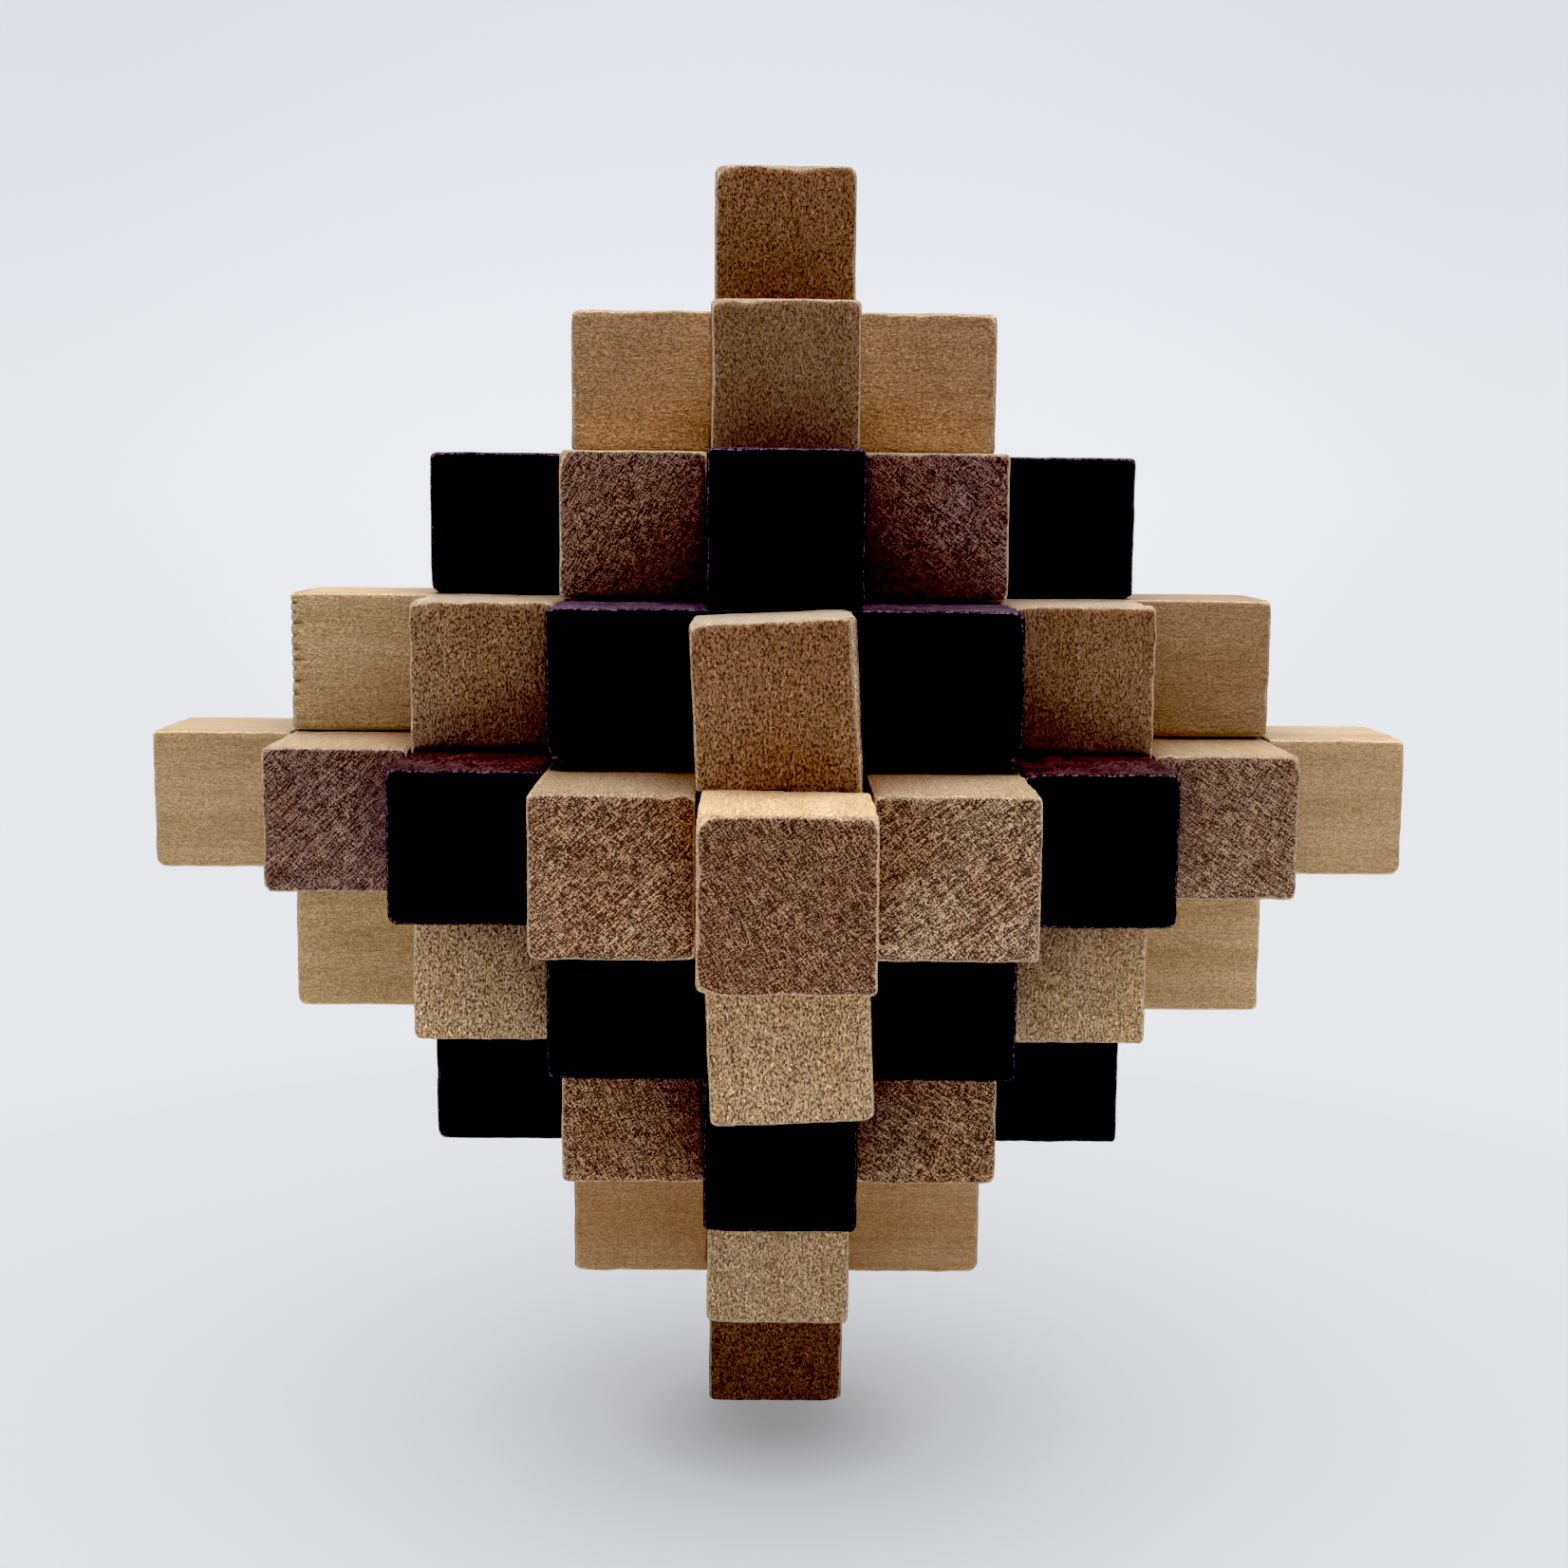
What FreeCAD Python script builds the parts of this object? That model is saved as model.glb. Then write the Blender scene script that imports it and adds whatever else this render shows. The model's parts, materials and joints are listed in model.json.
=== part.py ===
import FreeCAD, Part
import Sketcher
import os

# A 33 stick interlocking burr puzzle: a stepped octahedron, nine grid cells from tip to tip.
# Every stick is square and lies along X, Y or Z on a cubic grid. Where two sticks cross, each one
# is notched to half its thickness, so that together they fill that cell of the grid (a half-lap).
# Frame: X to the right, Y to the back, Z up. The origin is the underside of the lowest tip.

DRIVING_SIZES = {
    "pitch": 10.0,          # spacing of the grid that the sticks lie on
    "fit_gap": 0.15,        # play between neighbouring faces
    "edge_ease": 0.35,      # the sanded corner along every stick
    "reach_cells": 4,       # grid cells from the middle of the puzzle to each tip
    "key_travel": 10.0,     # how far the key bar slides each way
    "rock_tilt": 2.7,       # how far the loose front bar leans to either side, in degrees
    "loose_width": 9.5,     # the loose front bar is a thinner stick than the others
    "rock_relief": 0.25,    # extra depth and length of the loose bar's notch, on each side
}

# Sizes that follow from the driving ones. A stick runs along its own X axis.
DERIVED_SIZES = {
    "stick_width": "=pitch - fit_gap",
    "middle_height": "=(reach_cells + 0.5) * pitch - fit_gap / 2",
    "lap_floor": "=fit_gap / 2",
    "loose_floor": "=fit_gap / 2 + rock_relief",
    "cell_notch": "=pitch + fit_gap",
    "long_notch": "=(2 * reach_cells - 1) * pitch + fit_gap",
    "key_notch": "=pitch + fit_gap + 2 * key_travel",
    "loose_notch": "=pitch + fit_gap + 2 * rock_relief",
}

# The pattern has threefold symmetry about the (1, 1, 1) diagonal: a third of a turn takes the
# sticks that run across to those that run in depth, and two thirds take them to the upright ones.
DIAGONAL = FreeCAD.Vector(1, 1, 1)
FAMILY_TURN = {"across": 0, "depth": 120, "upright": 240}

# The words for minus and plus along world X, Y and Z, and the order in which each family's own
# Y and Z axes take them.
AXIS_WORDS = [("left", "right"), ("front", "back"), ("down", "up")]
CROSS_AXES = {"across": (1, 2), "depth": (2, 0), "upright": (0, 1)}

KEY_NAME = "key_bar"
LOOSE_NAME = "upright_bar_front3"
OUTER_BAR = 3
DYED_OR_PINNED_BAR = 2
PIN_CELLS = 3
# A notch that takes away less wood than this, in cubic mm, has missed its stick.
SMALLEST_CUT = 100

doc = FreeCAD.newDocument("stepped_burr")
sizes = doc.addObject("Spreadsheet::Sheet", "Sizes")


def fill_sheet():
    """Write the driving sizes, then the ones that follow from them, each with its alias."""
    rows = {**DRIVING_SIZES, **DERIVED_SIZES}
    for row, (alias, value) in enumerate(rows.items(), start=1):
        sizes.set(f"A{row}", alias)
        sizes.set(f"B{row}", str(value))
        sizes.setAlias(f"B{row}", alias)
    doc.recompute()


def origin_plane(body, role):
    """The body's own origin plane with this role."""
    for feature in body.Origin.OriginFeatures:
        if feature.Role == role:
            return feature
    raise RuntimeError(f"{body.Label} has no plane {role}")


def rectangle(body, name, role, left, length, bottom, height):
    """A rectangle sketch on one of the body's origin planes, its four sizes bound to the sheet."""
    sketch = body.newObject("Sketcher::SketchObject", name)
    sketch.AttachmentSupport = [(origin_plane(body, role), "")]
    sketch.MapMode = "FlatFace"
    corners = [FreeCAD.Vector(x, y, 0) for x, y in ((-1, -1), (1, -1), (1, 1), (-1, 1))]
    for side in range(4):
        sketch.addGeometry(Part.LineSegment(corners[side], corners[(side + 1) % 4]), False)
    for side in range(4):
        sketch.addConstraint(Sketcher.Constraint("Coincident", side, 2, (side + 1) % 4, 1))
        direction = "Horizontal" if side % 2 == 0 else "Vertical"
        sketch.addConstraint(Sketcher.Constraint(direction, side))
    sized = [
        ("left", Sketcher.Constraint("DistanceX", -1, 1, 0, 1, -1.0), left),
        ("length", Sketcher.Constraint("DistanceX", 0, 1, 0, 2, 2.0), length),
        ("bottom", Sketcher.Constraint("DistanceY", -1, 1, 0, 1, -1.0), bottom),
        ("height", Sketcher.Constraint("DistanceY", 1, 1, 1, 2, 2.0), height),
    ]
    for label, constraint, formula in sized:
        index = sketch.addConstraint(constraint)
        sketch.renameConstraint(index, label)
        sketch.setExpression(f"Constraints.{label}", formula)
    return sketch


def square_blank(body, cells, width):
    """The plain stick: a square pad along X, centred on the origin, with every edge eased."""
    section = rectangle(body, "Section", "YZ_Plane", f"-{width} / 2", width, f"-{width} / 2", width)
    pad = body.newObject("PartDesign::Pad", "Blank")
    pad.Profile = section
    pad.SideType = "Symmetric"
    pad.setExpression("Length", f"{cells} * Sizes.pitch - Sizes.fit_gap")
    doc.recompute()
    ease = body.newObject("PartDesign::Chamfer", "EasedEdges")
    ease.Base = (pad, [f"Edge{number}" for number in range(1, 13)])
    ease.setExpression("Size", "Sizes.edge_ease")
    doc.recompute()


def cut_notch(body, number, cell, side, length, floor):
    """Cut one notch square across the stick, centred on a cell, from one side to the lap floor.

    side is a sign and the stick's own axis that the notch opens to, such as "-y" or "+z".
    """
    role = "XY_Plane" if side[1] == "y" else "XZ_Plane"
    depth = f"(Sizes.pitch + {floor})"
    bottom = "-Sizes.pitch" if side[0] == "-" else f"-{floor}"
    left = f"{cell} * Sizes.pitch - {length} / 2"
    sketch = rectangle(body, f"Notch{number}Sketch", role, left, length, bottom, depth)
    volume_before = body.Shape.Volume
    pocket = body.newObject("PartDesign::Pocket", f"Notch{number}")
    pocket.Profile = sketch
    pocket.Type = "ThroughAll"
    pocket.SideType = "Symmetric"
    doc.recompute()
    if body.Shape.Volume > volume_before - SMALLEST_CUT:
        raise RuntimeError(f"{body.Label}: notch {number} cut nothing")


def half_lap(cell, side):
    """A notch one cell long, down to the middle of the stick."""
    return (cell, side, "Sizes.cell_notch", "Sizes.lap_floor")


def make_stick(family, name, across, up, cells, notches, width="Sizes.stick_width"):
    """One stick as a body. across and up are its cell on the family's own Y and Z axes."""
    body = doc.addObject("PartDesign::Body", name)
    body.Label = name
    square_blank(body, cells, width)
    for number, (cell, side, length, floor) in enumerate(notches, start=1):
        cut_notch(body, number, cell, side, length, floor)
    turn = FreeCAD.Rotation(DIAGONAL, FAMILY_TURN[family])
    cell_place = turn.multVec(FreeCAD.Vector(0, across, up))
    if name == LOOSE_NAME:
        lean = FreeCAD.Rotation(FreeCAD.Vector(0, 1, 0), -sizes.get("rock_tilt"))
        turn = lean.multiply(turn)
    body.Placement = FreeCAD.Placement(FreeCAD.Vector(0, 0, 0), turn)
    body.setExpression("Placement.Base.x", f"{round(cell_place.x)} * Sizes.pitch")
    body.setExpression("Placement.Base.y", f"{round(cell_place.y)} * Sizes.pitch")
    height = f"{round(cell_place.z)} * Sizes.pitch + Sizes.middle_height"
    body.setExpression("Placement.Base.z", height)
    return body


def side_word(axis, cell):
    """The word for where a cell lies along a world axis."""
    return AXIS_WORDS[axis][1 if cell > 0 else 0]


def bar_name(family, up):
    """The name of a bar from its family and its place in the row."""
    if up == 0:
        return f"{family}_bar_centre"
    if family == "depth" and up == 1:
        return KEY_NAME
    return f"{family}_bar_{side_word(CROSS_AXES[family][1], up)}{abs(up)}"


def make_bars(family):
    """The family's seven bars, side by side through the middle of the puzzle."""
    reach = round(sizes.get("reach_cells"))
    for up in range(-OUTER_BAR, OUTER_BAR + 1):
        name = bar_name(family, up)
        cells = 2 * (reach - abs(up)) + 1
        width = "Sizes.stick_width"
        if up == 0:
            # The long bar laps all seven bars of the next family, and at its very middle it also
            # gives up half of what is left to the third family's long bar.
            notches = [(0, "+z", "Sizes.long_notch", "Sizes.lap_floor"), half_lap(0, "-y")]
        elif name == KEY_NAME:
            notches = [(0, "-y", "Sizes.key_notch", "Sizes.lap_floor")]
        elif name == LOOSE_NAME:
            notches = [(0, "-y", "Sizes.loose_notch", "Sizes.loose_floor")]
            width = "Sizes.loose_width"
        else:
            notches = [half_lap(0, "-y")]
        if abs(up) == DYED_OR_PINNED_BAR:
            outer = "+z" if up > 0 else "-z"
            notches += [half_lap(-1, outer), half_lap(1, outer)]
        make_stick(family, name, 0, up, cells, notches, width)


def make_pins(family):
    """The family's four short sticks, each crossing one of the third family's bars."""
    across_axis, up_axis = CROSS_AXES[family]
    for across in (-DYED_OR_PINNED_BAR, DYED_OR_PINNED_BAR):
        inner = "+y" if across < 0 else "-y"
        for up in (-1, 1):
            words = f"{side_word(across_axis, across)}_{side_word(up_axis, up)}"
            make_stick(family, f"{family}_pin_{words}", across, up, PIN_CELLS, [half_lap(0, inner)])


def check_document():
    """Stop if any object failed to compute or any stick's shape is not a sound solid."""
    for item in doc.Objects:
        if "Invalid" in item.State or "Error" in item.State:
            raise RuntimeError(f"{item.Label} is {item.State}")
    for body in stick_bodies():
        shape = body.Shape
        if shape.isNull() or not shape.isValid() or len(shape.Solids) != 1:
            raise RuntimeError(f"{body.Label} is not one valid solid")


def stick_bodies():
    """Every stick of the puzzle."""
    return [item for item in doc.Objects if item.TypeId == "PartDesign::Body"]


def write_parts():
    """Write each stick to its own STEP file, named after its label."""
    os.makedirs("parts", exist_ok=True)
    for body in stick_bodies():
        body.Shape.exportStep(f"parts/{body.Label}.step")


fill_sheet()
for family_name in FAMILY_TURN:
    make_bars(family_name)
    make_pins(family_name)
doc.recompute()
check_document()
write_parts()
print(f"{len(stick_bodies())} sticks written")
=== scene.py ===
import json
import math

import bpy
import numpy as np
from mathutils import Matrix, Vector


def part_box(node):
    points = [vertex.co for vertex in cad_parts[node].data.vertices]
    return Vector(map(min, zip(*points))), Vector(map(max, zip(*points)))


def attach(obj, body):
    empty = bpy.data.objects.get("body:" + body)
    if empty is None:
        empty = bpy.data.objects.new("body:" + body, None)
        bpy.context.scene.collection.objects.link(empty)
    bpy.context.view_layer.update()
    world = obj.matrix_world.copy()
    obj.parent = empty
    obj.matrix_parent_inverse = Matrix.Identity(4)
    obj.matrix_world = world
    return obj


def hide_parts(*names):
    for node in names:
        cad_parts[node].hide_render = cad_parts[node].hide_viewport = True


# Looks for a 33 stick interlocking burr puzzle. Every CAD stick is replaced by a finished one of the
# same size and place: eased, chipped and worn edges in its mesh, and a wood that is cut through by
# the stick's own faces, so that ends show end grain and sides show long grain.

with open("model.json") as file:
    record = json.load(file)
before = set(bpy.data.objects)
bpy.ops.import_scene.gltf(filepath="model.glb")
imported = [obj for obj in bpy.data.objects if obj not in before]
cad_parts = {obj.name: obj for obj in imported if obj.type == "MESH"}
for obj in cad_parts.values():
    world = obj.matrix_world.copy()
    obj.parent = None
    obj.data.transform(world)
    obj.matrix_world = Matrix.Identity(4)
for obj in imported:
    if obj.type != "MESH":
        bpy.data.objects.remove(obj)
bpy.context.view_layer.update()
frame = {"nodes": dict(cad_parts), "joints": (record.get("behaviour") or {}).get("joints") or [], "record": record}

MM = 0.001
SEED = 33
BARE, DYED = "natural_wood", "black_dyed_wood"

# ---------------------------------------------------------------------------------------------
# Sizes read from the frame, in mm
# ---------------------------------------------------------------------------------------------


def extent(node):
    """A CAD node's size along X, Y and Z."""
    low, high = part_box(node)
    return [(b - a) / MM for a, b in zip(low, high)]


JOINTS = {joint["name"]: joint for joint in frame["joints"]}
KEY_TRAVEL = JOINTS["key_slide"]["range_m"][1] / MM
# The loose bar rests at one side of its rocking, so it leans by half of that.
LEAN = math.radians(JOINTS["front_bar_rock"]["range_deg"][1] / 2)

# The longest bars fill nine cells of the grid, and the shortest sticks three.
LONG_CELLS, SHORT_CELLS = 9, 3
LONG_BAR = extent("across_bar_centre")[0]
SHORT_BAR = extent("across_bar_up3")[0]
PITCH = (LONG_BAR - SHORT_BAR) / (LONG_CELLS - SHORT_CELLS)
GAP = LONG_CELLS * PITCH - LONG_BAR
WIDTH = PITCH - GAP
HALF_LONG, HALF_SHORT, HALF_WIDTH = LONG_BAR / 2, SHORT_BAR / 2, WIDTH / 2
PIN_HALF = SHORT_CELLS * PITCH / 2 - GAP / 2
MIDDLE = np.array([0.0, 0.0, LONG_BAR / 2])

# A long bar laps the seven bars of the next family, and each family's second bars are dyed black.
LAPPED_CELLS = 7
DYED_BAR = 2

# The loose bar: its width, its left face in its own axes, and how much deeper its notch is than the
# others' and longer at each end.
LOOSE_NAME = "upright_bar_front3"
LOOSE_WIDTH = extent(LOOSE_NAME)[1]
LOOSE_LEFT = -5.0
ROCK_RELIEF = 0.25
END_RELIEF = 0.05

# Each family's own axes: its sticks run along u, and v and w cross them.
FAMILY_AXES = {"across": (0, 1, 2), "depth": (1, 2, 0), "upright": (2, 0, 1)}

# ---------------------------------------------------------------------------------------------
# Sticks: where each one is, and the notches that its neighbours need
# ---------------------------------------------------------------------------------------------


class Stick:
    """One stick, in its own u, v, w axes in mm, centred on its middle."""

    def __init__(self, name, number):
        self.name = name
        self.family = "depth" if name == "key_bar" else name.split("_")[0]
        self.axes = FAMILY_AXES[self.family]
        low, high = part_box(name)
        self.middle = np.array((low + high) / 2 / MM)
        cells = np.round((self.middle - MIDDLE) / PITCH).astype(int)
        self.v, self.w = int(cells[self.axes[1]]), int(cells[self.axes[2]])
        self.pin = "_pin_" in name
        self.loose = name == LOOSE_NAME
        self.width = LOOSE_WIDTH if self.loose else WIDTH
        self.low_v = LOOSE_LEFT if self.loose else -self.width / 2
        self.cells = SHORT_CELLS if self.pin else LONG_CELLS - 2 * abs(self.w)
        self.length = self.cells * PITCH - GAP
        self.pinned = not self.pin and abs(self.w) == DYED_BAR
        self.dyed = self.pinned or name.startswith("across_pin")
        self.random = np.random.default_rng(SEED + number)

    def notches(self):
        """Boxes cut from the stick, each as ((u, v, w) low, (u, v, w) high)."""
        half = (PITCH + GAP) / 2
        if self.pin:
            return [lap(-half, half, "v", -self.v)]
        if self.w == 0:
            long_half = LAPPED_CELLS * PITCH / 2 + GAP / 2
            return [lap(-long_half, long_half, "w", 1), lap(-half, half, "v", -1)]
        if self.name == "key_bar":
            return [lap(-half - KEY_TRAVEL, half + KEY_TRAVEL, "v", -1)]
        if self.loose:
            return [lap(-half - END_RELIEF, half + END_RELIEF, "v", -1, GAP / 2 + ROCK_RELIEF)]
        out = [lap(-half, half, "v", -1)]
        if self.pinned:
            out += [lap(place - half, place + half, "w", self.w) for place in (-PITCH, PITCH)]
        return out


def lap(start, end, axis, side, floor=GAP / 2):
    """A half-lap notch from start to end along u, open to one side of the v or w axis."""
    span = (-PITCH, floor) if side < 0 else (-floor, PITCH)
    everything = (-PITCH, PITCH)
    v, w = (span, everything) if axis == "v" else (everything, span)
    return ((start, v[0], w[0]), (end, v[1], w[1]))


STICKS = [Stick(name, number) for number, name in enumerate(sorted(frame["nodes"]))]

# ---------------------------------------------------------------------------------------------
# Fields of where wood is, for dye that rubs off, for dye stain and painted shade beside black sticks, and for
# painted shade in the corners
# ---------------------------------------------------------------------------------------------

# The fields' step in mm, half of their size in steps, and how far they are blurred, in mm.
FIELD_STEP = 0.5
FIELD_HALF = 100
CORNER_BLUR = 3.0
DYE_BLUR = 0.6


def blurred(field, sigma):
    """A field blurred by a Gaussian of this many steps, one axis after another."""
    reach = int(3 * sigma)
    offsets = np.arange(-reach, reach + 1)
    weights = np.exp(-0.5 * (offsets / sigma) ** 2)
    weights /= weights.sum()
    for axis in range(3):
        field = sum(weight * np.roll(field, offset, axis) for weight, offset in zip(weights, offsets))
    return field


def wood_field(sticks):
    """1 where these sticks are and 0 elsewhere, on a grid about the middle of the puzzle."""
    size = 2 * FIELD_HALF
    field = np.zeros((size, size, size), np.float32)
    for stick in sticks:
        corners = [np.array(corner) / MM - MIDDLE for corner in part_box(stick.name)]
        a, b = [np.round(corner / FIELD_STEP).astype(int) + FIELD_HALF for corner in corners]
        field[a[0]:b[0], a[1]:b[1], a[2]:b[2]] = 1
    return field


def read_field(field, points):
    """The field's value at each point, in mm in the shared frame, blended between grid steps."""
    place = (points - MIDDLE) / FIELD_STEP + FIELD_HALF - 0.5
    place = np.clip(place, 0, 2 * FIELD_HALF - 2)
    base = place.astype(int)
    part = place - base
    out = np.zeros(len(place))
    for corner in np.ndindex(2, 2, 2):
        weight = np.prod(np.where(np.array(corner) == 1, part, 1 - part), axis=1)
        i, j, k = (base + corner).T
        out += weight * field[i, j, k]
    return out


ALL_WOOD = blurred(wood_field(STICKS), CORNER_BLUR / FIELD_STEP)
DYED_WOOD = blurred(wood_field([stick for stick in STICKS if stick.dyed]), DYE_BLUR / FIELD_STEP)
DYED_NEARBY = blurred(DYED_WOOD, CORNER_BLUR / FIELD_STEP)

# ---------------------------------------------------------------------------------------------
# What has happened to single sticks, in each one's own u, v, w axes, in mm from its middle
# ---------------------------------------------------------------------------------------------

# Big knocks: the place, how far each one spreads, and how much it adds to the edge's radius.
KNOCKS = {
    "upright_bar_centre": [((HALF_LONG, -HALF_WIDTH, -HALF_WIDTH), 0.9, 0.5),
                           ((HALF_LONG, HALF_WIDTH * 0.2, -HALF_WIDTH), 0.7, 0.35)],
    "across_pin_front_up": [((-PIN_HALF, -HALF_WIDTH, -HALF_WIDTH), 1.1, 1.1),
                            ((PIN_HALF, -HALF_WIDTH, -HALF_WIDTH), 1.1, 1.1)],
    "across_bar_up3": [((-HALF_SHORT, -HALF_WIDTH, 1.4), 0.35, 0.35),
                       ((9.6, -HALF_WIDTH, HALF_WIDTH), 0.4, 0.35)],
    "upright_bar_front1": [((3 * PITCH, -HALF_WIDTH, -HALF_WIDTH), 0.5, 0.35)],
}
# Flat cuts across corners: a place on the cut, and the direction that it faces.
CUTS = {
    "depth_bar_centre": [((-HALF_LONG, HALF_WIDTH - 1.0, -HALF_WIDTH), (-0.7, 1, -1))],
    LOOSE_NAME: [((1.5 * PITCH, LOOSE_WIDTH / 2 - 0.68, -LOOSE_WIDTH / 2), (0.038, 1, -1))],
    "upright_bar_centre": [((HALF_LONG, -HALF_WIDTH + 0.8, -HALF_WIDTH), (1, -1, -0.6))],
}
# The bar that a saw has nicked, and the angles of the saw marks on the nearest ends, in radians.
NICKED = "across_bar_up1"
SAW_ANGLE = {"depth_bar_centre": 0.6, "depth_bar_left1": -0.8, "key_bar": -0.9}
# How far a few sticks sit off the even grid, in mm in the shared frame. Where two neighbours move
# towards each other by more than their play, they overlap a little inside their notches.
SETTLE = {
    "across_bar_centre": (0, 0, 0.13),
    "across_bar_up1": (0, 0, 0.07),
    "across_bar_up3": (0, 0, -0.1),
    "across_pin_front_up": (0, 0, 0.1),
    "depth_bar_centre": (0, 0, 0.13),
    "depth_bar_left1": (-0.13, 0, -0.13),
    "depth_bar_left2": (0, 0, -0.08),
    "depth_bar_left3": (0, 0, 0.13),
    "depth_bar_right3": (0, 0, 0.05),
    "key_bar": (0.05, 0, -0.1),
    "upright_bar_centre": (0, 0, -0.1),
    "upright_bar_front1": (0, 0, -0.1),
}

# Each stick's wood as (brightness, warmth) at its near end (left, front or bottom), the same at its
# far end, and how strongly flecks show. Warmth above 0 is redder, and below 0 is more purple. The
# brightness is partly the wood's own tone and partly painted light: each stick is painted lighter or
# darker by how light falls on it, and most upright sticks lighter at the bottom and darker at the top.
DEFAULT_TONE_AND_LIGHT = {
    "across": ((1.0, 0.0), (1.0, 0.0), 0.25),
    "depth": ((1.1, 0.0), (1.1, -0.2), 0.2),
    "upright": ((1.22, 0.0), (0.9, 0.4), 0.9),
}
TONE_AND_LIGHT = {
    "upright_bar_centre": ((0.46, 1.0), (0.53, 1.15), 1.0),
    "upright_bar_front1": ((1.24, 0.0), (0.47, 0.75), 0.8),
    "upright_bar_front3": ((1.16, -0.05), (0.5, 1.1), 0.95),
    "upright_pin_left_front": ((1.32, -0.05), (0.66, 0.7), 0.95),
    "upright_pin_right_front": ((1.28, -0.05), (0.57, 0.85), 0.8),
    "across_bar_centre": ((0.89, 0.0), (0.93, -0.05), 0.25),
    "across_bar_up3": ((0.86, 0.6), (0.83, 0.65), 0.5),
    "across_bar_up1": ((1.02, 0.0), (0.74, 0.55), 0.35),
    "across_bar_down1": ((1.09, 0.0), (1.09, 0.0), 0.25),
    "across_bar_down3": ((0.98, 0.55), (0.98, 0.5), 0.2),
    "across_pin_front_up": ((1.0, 0.1), (1.0, 0.1), 0.0),
    "across_pin_front_down": ((1.0, 0.1), (1.0, 0.1), 0.0),
    "depth_bar_left3": ((0.86, -0.85), (1.1, 0.0), 0.7),
    "depth_bar_right3": ((1.08, -0.3), (1.1, 0.0), 0.7),
    "depth_bar_left1": ((1.05, 0.5), (1.1, 0.0), 1.0),
    "depth_bar_centre": ((0.76, 0.9), (1.1, 0.0), 0.8),
    "key_bar": ((1.13, 0.05), (1.1, 0.0), 0.9),
    "depth_bar_left2": ((1.0, 1.0), (1.0, 1.0), 0.0),
    "depth_bar_right2": ((0.9, 1.0), (0.9, 1.0), 0.0),
    "depth_pin_up_left": ((1.0, -0.75), (1.1, -0.5), 0.2),
    "depth_pin_up_right": ((0.82, -1.2), (1.1, -0.5), 0.2),
    "depth_pin_down_left": ((1.38, 0.5), (1.1, -0.3), 0.2),
    "depth_pin_down_right": ((1.26, 0.3), (1.1, -0.3), 0.2),
}
# How bright the long faces of a depth bar are, where that isn't 1: partly painted light, strongest on the centre
# bar's top.
SIDE_TONE_AND_LIGHT = {"depth_bar_centre": 1.5, "key_bar": 1.1, "depth_bar_right3": 1.04}
# Painted shade and light: a bare depth stick's ends are painted darker towards the top, and an upright one's top
# end is painted this bright.
END_SHADE_UPWARDS = 0.07
TOP_END_LIGHT = 1.25
# How much paler a bare across bar is painted where other sticks shade it, as a painted fill light, and the bars
# that differ.
SHELTER_FILL_LIGHT = 0.25
SHELTER_FILL_BARS = {"across_bar_up3": 0.6, "across_bar_up1": 0.0}
# How much weaker flecks show on faces that look up, and how much painted shade each family's corners get.
TOP_FLECK_LOSS = 0.5
CORNER_SHADE = {"across": 0.05, "depth": 0.75, "upright": 0.4}

# ---------------------------------------------------------------------------------------------
# Stick meshes
# ---------------------------------------------------------------------------------------------

# The rounding of outer edges and of notch edges, the largest rounding, and how near to an edge it
# is an outer one. Then how far the rounding wavers, as a share, and how long the waves are.
EDGE_RADIUS = 0.33
NOTCH_RADIUS = 0.12
LARGEST_RADIUS = 1.5
EDGE_ZONE = 1.6
SLOW_WAVER, SLOW_WAVE = 0.16, 2.2
QUICK_WAVER, QUICK_WAVE = 0.10, 0.9
# How far a square edge stands out past a round one, as a share of the radius, and the most wear.
SQUARE_EXCESS = 0.414
MOST_WEAR = 1.6
NO_DISTANCE = 1e-6
# The unevenness of the faces, and how much the lengths of one ripple's waves differ.
FACE_WAVER, FACE_WAVE = 0.012, 3.0
WAVE_SPREAD = (0.7, 1.5)

# Mesh lines beside each edge, and the largest steps between lines near the ends, on the nicked bar
# and elsewhere. A gap may be longer than its steps by a spare part of one. Places are rounded to
# this many digits, and count as the same when they are this near.
EDGE_LINES = (0.09, 0.2, 0.36, 0.62, 1.0)
FINE_STEP = 0.5
NICK_STEP = 0.12
COARSE_STEP = 4.0
SPARE_STEP = 0.2
LINE_DIGITS = 4
SAME_PLACE = 0.001
# How much further than a pitch from a stick's ends its lines stay fine.
FINE_MARGIN = 1

# Small chips, as ranges of (size, extra radius): on an end's edges, on a corner, and along a stick.
# How many there are on an end's edges and along the stick, and how far those are from the end.
END_CHIP = ((0.25, 0.7), (0.1, 0.4))
CORNER_CHIP = ((0.5, 1.1), (0.05, 0.3))
SIDE_CHIP = ((0.3, 0.8), (0.05, 0.25))
END_CHIPS, SIDE_CHIPS = (3, 7), 2
SIDE_CHIP_REACH = (1, 9)

# Saw nicks: their depth, slant, lowest place and sharpness, then what is usual, how much it changes
# and how fast, in radians per mm, for their spacing and for their length. A nick has faded out at
# this many lengths.
NICK_DEPTH = 0.4
NICK_SLANT = 0.12
LOWEST_NICK = -2.6
NICK_SHARPNESS = 2.2
NICK_SPACING = (0.82, 0.15, 1.7)
NICK_LENGTH = (0.6, 0.3, 2.9)
NICK_FADE = 1.2
# The wear of a freshly cut corner, and how deep the cut is where that wear is full.
CUT_WEAR = 0.5
CUT_RIM = 0.1

# Where a point looks for the wood beside it: outwards, and down if it isn't on a top. With this much
# wood there it counts as open, and with that much more it is quite shut in.
LOOK_OUT = 2.5
LOOK_DOWN = 1.6
OPEN_WOOD, SHUT_RANGE = 0.24, 0.38
# How far outwards it looks for dye that rubs off, and for the dye stain and painted shade beside black sticks.
DYE_LOOK_OUT = 0.35
STAIN_LOOK_OUT = 2.0

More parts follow.
